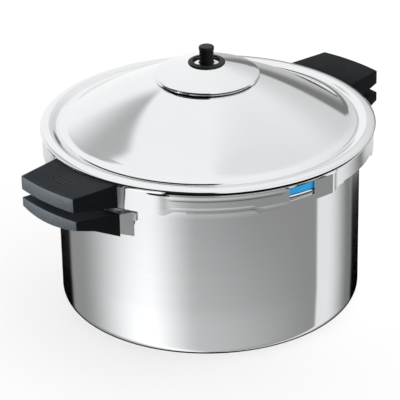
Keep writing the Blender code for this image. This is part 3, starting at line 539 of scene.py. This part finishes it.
# ---- Pot ------------------------------------------------------------------------------------------------
def make_pot():
    """The pot is one sheet: floor, wall, mouth and the notched flange that the lid hooks under."""
    inside = WALL_RADIUS - SHEET
    corner = 0.0102 - SHEET
    mouth = 0.0016
    edge = 0.0014
    outline = [(0.0, FLOOR_Z + SHEET), (0.06, FLOOR_Z + SHEET)]
    outline += arc((inside - corner, FLOOR_Z + SHEET + corner), corner, -90, 0, 12)
    outline += [(inside, FLOOR_Z + 0.05), (inside, FLOOR_Z + 0.10), (inside, FLOOR_Z + 0.14)]
    outline += arc((inside + mouth, FLANGE_TOP - mouth), mouth, 180, 90, 6)
    notch = FLANGE_RADIUS - 0.0062
    outline += [(notch, FLANGE_TOP)]
    outline += arc((FLANGE_RADIUS - edge, FLANGE_TOP - edge), edge, 90, 0, 6)
    outline += [(FLANGE_RADIUS, flange_low.z)]
    pot = turned("pot_body", outline, AROUND, closed=False, first=0.5)

    def in_notch(middle):
        if radius_of(middle) < notch or middle.z < flange_low.z:
            return False
        turns = [(degrees_of(middle) - lug - UNLOCK + 180) % 360 - 180 for lug in LUGS]
        return min(abs(t) for t in turns) < LUG_HALF + 2.0

    drop_faces(pot, in_notch)
    modify(pot, "SOLIDIFY", thickness=SHEET, offset=-1.0, use_even_offset=True)
    finish_piece(pot, POT_STEEL, "pot", "polished_steel", "pot_shell", "pot_flange", angle=30)


def make_base_cap():
    radius = cap_high.x
    soft = 0.0012
    outline = [(0.0, 0.0), (radius - soft - 0.0006, 0.0)]
    outline += arc((radius - soft, soft), soft, -90, 0, 6)
    outline += [(radius, cap_high.z), (radius - 0.0008, cap_high.z), (radius - 0.0008, 0.0011),
                (0.0, 0.0008)]
    cap = turned("base_cap_skin", outline, 192, closed=False)
    finish_piece(cap, BASE_STEEL, "pot", "satin_steel", "base_cap")


# ---- Lid ---------------------------------------------------------------------------------------------
def dome(radius):
    return VALLEY_Z + DOME_RISE * (1.0 - (radius / VALLEY_RADIUS) ** DOME_POWER)


def ease(value, low, high):
    share = min(1.0, max(0.0, (value - low) / (high - low)))
    return share * share * (3 - 2 * share)


def table(value, rows):
    """Straight lines between rows of (place, amount)."""
    for (x0, y0), (x1, y1) in zip(rows, rows[1:]):
        if x0 <= value <= x1:
            return y0 + (y1 - y0) * (value - x0) / (x1 - x0)
    return rows[0][1] if value < rows[0][0] else rows[-1][1]


# Skirt, measured down from the rim's lower edge: how far it stands inside the rim's outer radius.
FLUSH = ((0.0, 0.15), (0.4, 0.6), (1.2, 1.3), (2.2, 1.65), (3.0, 1.8), (30.0, 1.8))
GROOVED = ((0.0, 0.15), (0.2, 0.9), (0.5, 2.6), (1.0, 3.5), (2.2, 3.6), (3.0, 3.1), (3.5, 2.2),
           (3.9, 1.85), (4.8, 1.79), (5.8, 1.82), (6.5, 1.86), (7.4, 1.91), (8.3, 1.88),
           (9.0, 1.83), (9.8, 1.79), (11.2, 1.8), (15.4, 1.8), (16.0, 1.9), (16.6, 2.02),
           (17.1, 1.9), (17.6, 1.74), (18.4, 1.68), (30.0, 1.8))
FLAT = ((0.0, 0.15), (0.2, 0.9), (0.5, 2.6), (1.0, 3.5), (2.2, 3.6), (3.0, 3.1), (3.5, 2.2),
        (3.9, 1.85), (5.0, 1.8), (30.0, 1.8))
SKIRT_ROWS = (0.0, 0.2, 0.5, 1.0, 1.6, 2.2, 2.8, 3.2, 3.5, 3.9, 4.9, 5.8, 6.5, 7.4, 8.3, 9.0, 9.8,
              11.2, 13.4, 15.4, 16.0, 16.6, 17.1, 17.6, 18.2, 18.8)


def half_turn(angle):
    """The skirt repeats after half a turn: the same angle between 123 and 303 degrees."""
    return (angle - 123.0) % 180.0 + 123.0


def undercut(angle):
    a = half_turn(angle)
    return ease(a, GRIP_END, GRIP_END + 1.5) * (1.0 - ease(a, NEXT_GRIP - 2.0, NEXT_GRIP))


def corrugation(angle):
    a = half_turn(angle)
    return ease(a, GRIP_END - 1.0, GRIP_END + 3.0) * (1.0 - ease(a, WINDOW[0] - 1.5, WINDOW[0] - 0.5))


def skirt_cutback(angle):
    """0 where the skirt is tall and 1 where it is short."""
    a = half_turn(angle)
    if a > PLATE[1]:
        return ease(a, PLATE[1], PLATE[1] + 5.0)
    return ease(a, GRIP_END, GRIP_END + 4.0) * (1.0 - ease(a, PLATE[0] - 1.8, PLATE[0]))


def stand_out(angle):
    """How far the skirt stands out at the flat plate's ends and at the end by the grip, in mm."""
    a = half_turn(angle)
    middle = (WINDOW[0] + PLATE[1]) / 2
    half = PLATE[1] - middle
    across = min(1.0, abs(a - middle) / half)
    plate = (1.4 if a > middle else 0.6) * across ** 2 * ease(a, WINDOW[0] - 0.6, WINDOW[0]) \
        * (1.0 - ease(a, PLATE[1] - 0.2, PLATE[1] + 0.9))
    flare = 0.6 * ease(a, 204.5, 209.4) * (1.0 - ease(a, 209.8, GRIP_END + 1.5))
    return plate + flare


def curl(angle):
    """The lower edge rolls out a little at both ends of the short stretch, in mm."""
    a = half_turn(angle)
    return 0.25 * (math.exp(-((a - GRIP_END - 1.2) / 1.1) ** 2)
                   + math.exp(-((a - PLATE[0] + 0.9) / 1.1) ** 2))


def make_lid():
    edge_z = VALLEY_Z + 0.0010
    foot = 131.5 * MM
    knots = [(foot, dome(foot)), (134.0 * MM, VALLEY_Z + 3.42 * MM),
             (136.4 * MM, VALLEY_Z + 2.90 * MM), (138.3 * MM, VALLEY_Z + 2.62 * MM),
             (138.95 * MM, VALLEY_Z + 2.42 * MM), (139.25 * MM, VALLEY_Z + 2.02 * MM),
             (139.50 * MM, VALLEY_Z + 1.45 * MM), (140.1 * MM, VALLEY_Z + 1.20 * MM),
             (141.4 * MM, VALLEY_Z + 1.28 * MM), (143.2 * MM, VALLEY_Z + 2.05 * MM),
             (145.2 * MM, VALLEY_Z + 2.95 * MM), (147.8 * MM, VALLEY_Z + 3.42 * MM),
             (150.6 * MM, VALLEY_Z + 3.36 * MM), (153.2 * MM, VALLEY_Z + 2.85 * MM),
             (155.0 * MM, VALLEY_Z + 2.12 * MM), (155.85 * MM, VALLEY_Z + 1.45 * MM),
             (RIM_RADIUS, edge_z + 0.0001)]
    hole = 0.0095
    outline = [(hole, PLATEAU_Z), (0.020, PLATEAU_Z), (0.030, PLATEAU_Z)]
    radii = [PLATEAU_RADIUS + (foot - PLATEAU_RADIUS) * i / 24 for i in range(24)]
    outline += [(r, dome(r)) for r in radii]
    outline += smooth_line(knots, 3)
    skirt_top = edge_z
    skirt = RIM_RADIUS - SKIRT_INSET
    bottom = lid_low.z
    rows = [d * MM for d in SKIRT_ROWS[1:]]
    window_low = FLANGE_TOP - 0.0041
    window_high = FLANGE_TOP + 0.0085
    drops = rows + [skirt_top - window_low, skirt_top - window_high, skirt_top - bottom]
    drops = sorted(set(round(d, 6) for d in drops))
    outline += [(skirt, skirt_top - d) for d in drops]
    outline += [(skirt - 0.0030, bottom), (skirt - 0.0068, bottom)]
    lid = turned("lid_pan", outline, AROUND, closed=False, first=WINDOW[0] % 1.0)

    def unwanted(middle):
        angle = degrees_of(middle)
        radius = radius_of(middle)
        if middle.z < bottom + 0.0002 and radius < skirt - 0.0002:
            turns = [(angle - lug + 180) % 360 - 180 for lug in LUGS]
            return min(abs(t) for t in turns) > LUG_HALF
        if radius > skirt - 0.0005 and window_low < middle.z < window_high:
            return WINDOW[0] < angle < WINDOW[1] or WINDOW[0] < (angle + 180) % 360 < WINDOW[1]
        return False

    drop_faces(lid, unwanted)
    short = skirt_top - (FLANGE_TOP - 0.0054)
    tall = skirt_top - bottom
    for vertex in lid.data.vertices:
        radius = radius_of(vertex.co)
        if radius < skirt - 0.0002 or vertex.co.z > skirt_top - 0.0001:
            continue
        angle = degrees_of(vertex.co)
        drop = skirt_top - vertex.co.z
        cutback = skirt_cutback(angle)
        fixed = STRAIGHT_SKIRT * MM
        if drop > fixed:
            reach = tall + (short - tall) * cutback
            drop = fixed + (drop - fixed) * (reach - fixed) / (tall - fixed)
        down = drop / MM
        squeezed = down
        if down >= STRAIGHT_SKIRT:
            length = (tall + (short - tall) * cutback) / MM
            squeezed = STRAIGHT_SKIRT + (down - STRAIGHT_SKIRT) * (FULL_SKIRT - STRAIGHT_SKIRT) / (
                length - STRAIGHT_SKIRT)
        flush = table(down, FLUSH)
        wavy = table(squeezed, GROOVED)
        plain = table(down, FLAT)
        inset = flush + (plain - flush) * undercut(angle)
        inset += (wavy - plain) * corrugation(angle)
        if down > 3.4:
            inset -= stand_out(angle) * min(1.0, (down - 3.4) / 1.2)
        if squeezed > 14.0:
            inset -= curl(angle) * ease(squeezed, 14.0, 17.6)
        scale = (RIM_RADIUS - inset * MM) / radius
        vertex.co.x *= scale
        vertex.co.y *= scale
        vertex.co.z = skirt_top - drop
    modify(lid, "SOLIDIFY", thickness=0.0010, offset=-1.0, use_even_offset=True)
    finish_piece(lid, LID_STEEL, "lid", "polished_steel", "lid_shell", angle=32)


def make_sealing_ring():
    inner = ring_high.x - 0.0114
    outer = ring_high.x - 0.0004
    low = ring_low.z
    high = ring_high.z
    back = outer - 0.0036
    outline = [(inner, high - 0.0004)]
    outline += arc((inner + 0.0006, high - 0.0006), 0.0006, 150, 90, 3)
    outline += arc((outer - 0.0018, high - 0.0018), 0.0018, 90, 0, 6)
    outline += [(outer + 0.0001, (low + high) / 2)]
    outline += arc((outer - 0.0010, low + 0.0010), 0.0010, 0, -90, 5)
    outline += arc((inner + 0.0006, low + 0.0006), 0.0006, -90, -210, 4)
    outline += [(inner + 0.0004, low + 0.0020), (back - 0.001, low + 0.0028)]
    outline += arc((back - 0.0012, low + 0.0040), 0.0012, -90, 0, 4)
    outline += arc((back - 0.0012, high - 0.0040), 0.0012, 0, 90, 4)
    outline += [(inner + 0.0004, high - 0.0020)]
    ring = turned("sealing_ring", outline, 240)
    finish_piece(ring, RING_BLUE, "sealing_ring", "gasket_blue", "gasket", angle=50)


# ---- Valve ------------------------------------------------------------------------------------------
def make_valve_cover():
    radius = cover_high.x
    low = cover_low.z
    bore = 0.0146
    slope = 0.323
    shoulder = radius - 0.0004
    top_edge = low + 0.0027

    def cone(r):
        return top_edge + slope * (shoulder - r)

    knots = [(bore, cone(bore)), (0.022, cone(0.022)), (0.030, cone(0.030) + 0.0001),
             (0.038, cone(0.038) + 0.0002), (0.044, cone(0.044) + 0.0001)]
    outline = smooth_line(knots, 4)
    outline += arc((radius - 0.0008, top_edge - 0.0006), 0.0008, 72, 0, 6)
    outline += [(radius, low + 0.0002), (radius - 0.0002, low), (radius - 0.0008, low),
                (radius - 0.0010, top_edge - 0.0012), (0.038, cone(0.038) - 0.0007),
                (0.026, cone(0.026) - 0.0009), (bore, cone(bore) - 0.0008)]
    cover = turned("cover_pan", outline, 240)
    finish_piece(cover, COVER_STEEL, "cover", "polished_steel", "valve_cover")


def make_cover_ring():
    outer = trim_high.x
    high = trim_high.z
    low = trim_low.z
    bore = 0.0123
    sleeve = bore + 0.0020
    outline = arc((bore + 0.0008, high - 0.0009), 0.0008, 180, 90, 5)
    outline += [(sleeve, high - 0.0002)]
    outline += arc((outer - 0.0009, high - 0.0018), 0.0009, 80, 0, 5)
    outline += [(outer, high - 0.0027), (outer - 0.0006, high - 0.0029),
                (sleeve, high - 0.0020), (sleeve, low), (bore, low)]
    ring = turned("cover_trim", outline, 96)
    finish_piece(ring, VALVE_BLACK, "cover", "valve_black", "cover_ring")


def make_valve_body():
    top = collar_high.z
    low = collar_low.z
    bore = 0.0072
    outer = 0.0118
    flange = collar_high.x
    web = PLATEAU_Z - 0.0087
    outline = [(bore, top - 0.0003), (bore + 0.0003, top)]
    outline += arc((outer - 0.0008, top - 0.0008), 0.0008, 90, 0, 5)
    outline += [(outer, PLATEAU_Z + 0.0036), (flange, PLATEAU_Z + 0.0036),
                (flange, PLATEAU_Z + 0.0016), (0.0092, PLATEAU_Z + 0.0016), (0.0092, low),
                (0.0060, low), (0.0060, web - 0.0020), (0.0031, web - 0.0020), (0.0031, web),
                (bore, web)]
    collar = turned("valve_collar", outline, 96)
    finish_piece(collar, COLLAR_STEEL, "lid", "polished_steel", "valve_body")


def make_stem():
    top = stem_high.z
    collar_top = collar_high.z
    stem = 0.0067
    head = 0.0071
    waist = stem - 0.0008
    head_z = top - 0.0035
    outline = [(0.0, top - 0.0001), (0.0030, top)]
    outline += arc((head - 0.0012, top - 0.0012), 0.0012, 90, 0, 6)
    outline += [(head, head_z + 0.0004), (head - 0.0004, head_z)]
    ribs = 5
    ribs_low = collar_top + 0.0046
    pitch = (head_z - ribs_low) / ribs
    for rib in range(ribs):
        z = head_z - rib * pitch
        outline += [(waist, z - 0.10 * pitch), (waist, z - 0.38 * pitch),
                    (stem - 0.0001, z - 0.55 * pitch), (stem, z - 0.75 * pitch),
                    (stem - 0.0001, z - 0.92 * pitch)]
    for depth in (0.0024, 0.0052):
        groove = collar_top - depth
        outline += [(stem, groove + 0.0003), (stem - 0.0011, groove + 0.0003),
                    (stem - 0.0011, groove - 0.0015), (stem, groove - 0.0015)]
    clip_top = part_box("stem_clip")[1].z
    clip_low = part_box("stem_clip")[0].z
    foot = collar_top - 0.0077
    outline += [(stem, foot), (0.0026, foot), (0.0026, clip_top + 0.0003),
                (0.0022, clip_top + 0.0003), (0.0022, clip_low - 0.0003),
                (0.0026, clip_low - 0.0003), (0.0026, stem_low.z), (0.0, stem_low.z)]
    piece = turned("indicator_pin", outline, 96, closed=False)
    bpy.ops.mesh.primitive_cube_add(size=1)
    ears = bpy.context.active_object
    ears.scale = (0.0184, 0.0020, 0.0016)
    ears.location = (0, 0, collar_top + 0.0036)
    ears.rotation_euler.z = math.radians(-45)
    place(ears)
    modify(ears, "BEVEL", width=0.0004, segments=2)
    cut(piece, ears, "UNION")
    finish_piece(piece, VALVE_BLACK, "indicator", "valve_black", "indicator_stem")


def make_spring_coil():
    """The coil stands on the valve body's web."""
    coil = bpy.data.objects.new("pin_coil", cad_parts["indicator_spring"].data.copy())
    bpy.context.collection.objects.link(coil)
    pick(coil)
    edit()
    bpy.ops.mesh.select_all(action="SELECT")
    bpy.ops.mesh.remove_doubles(threshold=0.00001)
    done()
    shade(coil, 50)
    coil.data.materials.clear()
    coil.data.materials.append(SPRING_METAL)
    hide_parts("indicator_spring")
    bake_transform(coil)


# ---- Grips -------------------------------------------------------------------------------------------
def side_cut(piece, inner, outer, sign):
    """Trim one side of a grip along the plane through two points (x, half width)."""
    (x0, y0), (x1, y1) = inner, outer
    bpy.context.view_layer.objects.active = piece
    edit()
    bpy.ops.mesh.select_all(action="SELECT")
    normal = Vector((y0 - y1, (x1 - x0), 0)).normalized()
    bpy.ops.mesh.bisect(plane_co=(x0, sign * y0, 0), plane_no=(normal.x, sign * normal.y, 0),
                        use_fill=True, clear_outer=True)
    done()


def grip_form(name, section, inner, outer):
    """A grip on the +X side: its section swept around the axis, its sides trimmed."""
    swing = 17.0
    piece = turned(name, section, 34, closed=True, angle=2 * swing, first=-swing)
    bpy.context.view_layer.objects.active = piece
    edit()
    bpy.ops.mesh.select_all(action="DESELECT")
    bpy.ops.mesh.select_mode(type="EDGE")
    bpy.ops.mesh.select_non_manifold()
    bpy.ops.mesh.edge_face_add()
    bpy.ops.mesh.select_mode(type="VERT")
    bpy.ops.mesh.select_all(action="SELECT")
    bpy.ops.mesh.normals_make_consistent(inside=False)
    done()
    for sign in (1, -1):
        side_cut(piece, inner, outer, sign)
    return piece


def steps_between(start, end, count):
    return [(start[0] + (end[0] - start[0]) * i / count,
             start[1] + (end[1] - start[1]) * i / count) for i in range(count)]


def bar(low, high):
    bpy.ops.mesh.primitive_cube_add(size=1)
    tool = bpy.context.active_object
    tool.location = (Vector(low) + Vector(high)) / 2
    tool.scale = Vector(high) - Vector(low)
    place(tool)
    return tool


def screw_hole(piece, node, shank_top):
    low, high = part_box(node)
    center = (low + high) / 2
    head = high.x - center.x
    for radius, bottom, top in ((head + 0.0006, low.z - 0.02, low.z + 0.0029),
                                (0.0027, low.z, shank_top)):
        bpy.ops.mesh.primitive_cylinder_add(vertices=40, radius=radius, depth=top - bottom,
                                            location=(center.x, center.y, (top + bottom) / 2))
        tool = bpy.context.active_object
        place(tool)
        cut(piece, tool)


def make_lid_grips():
    inner_r = RIM_RADIUS - SKIRT_INSET + 0.0017
    outer_r = inner_r + GRIP_REACH
    top = lid_grip_high.z
    low_inner = lid_grip_low.z
    low_outer = top - 0.0130
    section = steps_between((inner_r, top), (outer_r, top), 6)
    section += steps_between((outer_r, top), (outer_r, low_outer), 2)
    section += steps_between((outer_r, low_outer), (inner_r, low_inner), 6)
    section += steps_between((inner_r, low_inner), (inner_r, top), 3)
    grip = grip_form("lid_grip_r", section, (0.1495, 0.0403), (0.1966, 0.0347))
    modify(grip, "BEVEL", width=0.0013, segments=3, limit_method="ANGLE",
           angle_limit=math.radians(38))
    screw_hole(grip, "lid_grip_screw_right", top - 0.0100)
    bracket_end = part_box("lid_bracket_right")[1].x
    tongue = top - 0.0075
    cut(grip, bar((inner_r - 0.02, -0.0133, tongue - 0.0033),
                  (bracket_end + JOINT_GAP, 0.0133, tongue + JOINT_GAP)))
    for offset, length in ((-0.0042, 0.020), (0.0, 0.026), (0.0042, 0.016)):
        slot = bar((inner_r + 0.021 + offset, -length / 2, top - 0.0003),
                   (inner_r + 0.0228 + offset, length / 2, top + 0.001))
        cut(grip, slot)
    other = half_turned(grip, "lid_grip_l")
    finish_piece(grip, GRIP_BLACK, "lid", "grip_black", "lid_grip_right", angle=40)
    finish_piece(other, GRIP_BLACK, "lid", "grip_black", "lid_grip_left", angle=40)


def make_pot_grips():
    tip = WALL_RADIUS + JOINT_GAP + BRACKET_REACH
    inner_r = tip - 0.0014
    outer_r = inner_r + GRIP_REACH
    middle_r = inner_r + GRIP_REACH * 0.57
    top_in = FLANGE_TOP - 0.0159
    top_out = FLANGE_TOP - 0.0092
    low_in = FLANGE_TOP - 0.0384
    low_mid = FLANGE_TOP - 0.0244
    low_out = FLANGE_TOP - 0.0177
    section = steps_between((inner_r, top_in), (outer_r, top_out), 6)
    section += steps_between((outer_r, top_out), (outer_r, low_out), 2)
    section += steps_between((outer_r, low_out), (middle_r, low_mid), 4)
    section += steps_between((middle_r, low_mid), (inner_r, low_in), 5)
    section += steps_between((inner_r, low_in), (inner_r, top_in), 3)
    half_in = 0.0412
    half_out = 0.0361
    grip = grip_form("pot_grip_r", section, (0.1493, half_in), (0.1956, half_out))
    for vertex in grip.data.vertices:
        along = min(1.0, max(0.0, (radius_of(vertex.co) - inner_r) / GRIP_REACH))
        top = top_in + (top_out - top_in) * along
        bottom = table(radius_of(vertex.co),
                       ((inner_r, low_in), (middle_r, low_mid), (outer_r, low_out)))
        share = (top - vertex.co.z) / (top - bottom)
        width = half_in + (half_out - half_in) * along
        across = min(1.0, abs(vertex.co.y) / width)
        vertex.co.z -= 0.0035 * along * (1 - across ** 2) * max(0.0, min(1.0, share))
    modify(grip, "BEVEL", width=0.0013, segments=3, limit_method="ANGLE",
           angle_limit=math.radians(30))
    screw_hole(grip, "pot_grip_screw_right", FLANGE_TOP - 0.0200)
    tongue = FLANGE_TOP - 0.0189
    cut(grip, bar((tip - 0.02, -0.0143, tongue - 0.0033), (tip + 0.0233, 0.0143, tongue + JOINT_GAP)))
    other = half_turned(grip, "pot_grip_l")
    finish_piece(grip, GRIP_BLACK, "pot", "grip_black", "pot_grip_right", angle=35)
    finish_piece(other, GRIP_BLACK, "pot", "grip_black", "pot_grip_left", angle=35)


def dress_frame():
    """Better materials for the solids that stay."""
    finishes = {
        "base_core": CORE_METAL, "pot_bracket_left": BRACKET_STEEL,
        "pot_bracket_right": BRACKET_STEEL, "lid_bracket_left": BRACKET_STEEL,
        "lid_bracket_right": BRACKET_STEEL, "pot_grip_screw_left": SCREW_STEEL,
        "pot_grip_screw_right": SCREW_STEEL, "lid_grip_screw_left": SCREW_STEEL,
        "lid_grip_screw_right": SCREW_STEEL, "valve_nut": SCREW_STEEL,
        "valve_seal": SEAL_BLACK, "valve_membrane": CUP_RED, "low_pressure_mark": MARK_RED,
        "high_pressure_mark": MARK_RED, "stem_clip": SPRING_METAL}
    for name, surface in finishes.items():
        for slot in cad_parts[name].material_slots:
            slot.material = surface


make_pot()
make_base_cap()
make_lid()
make_sealing_ring()
make_valve_cover()
make_cover_ring()
make_valve_body()
make_stem()
make_spring_coil()
make_lid_grips()
make_pot_grips()
dress_frame()
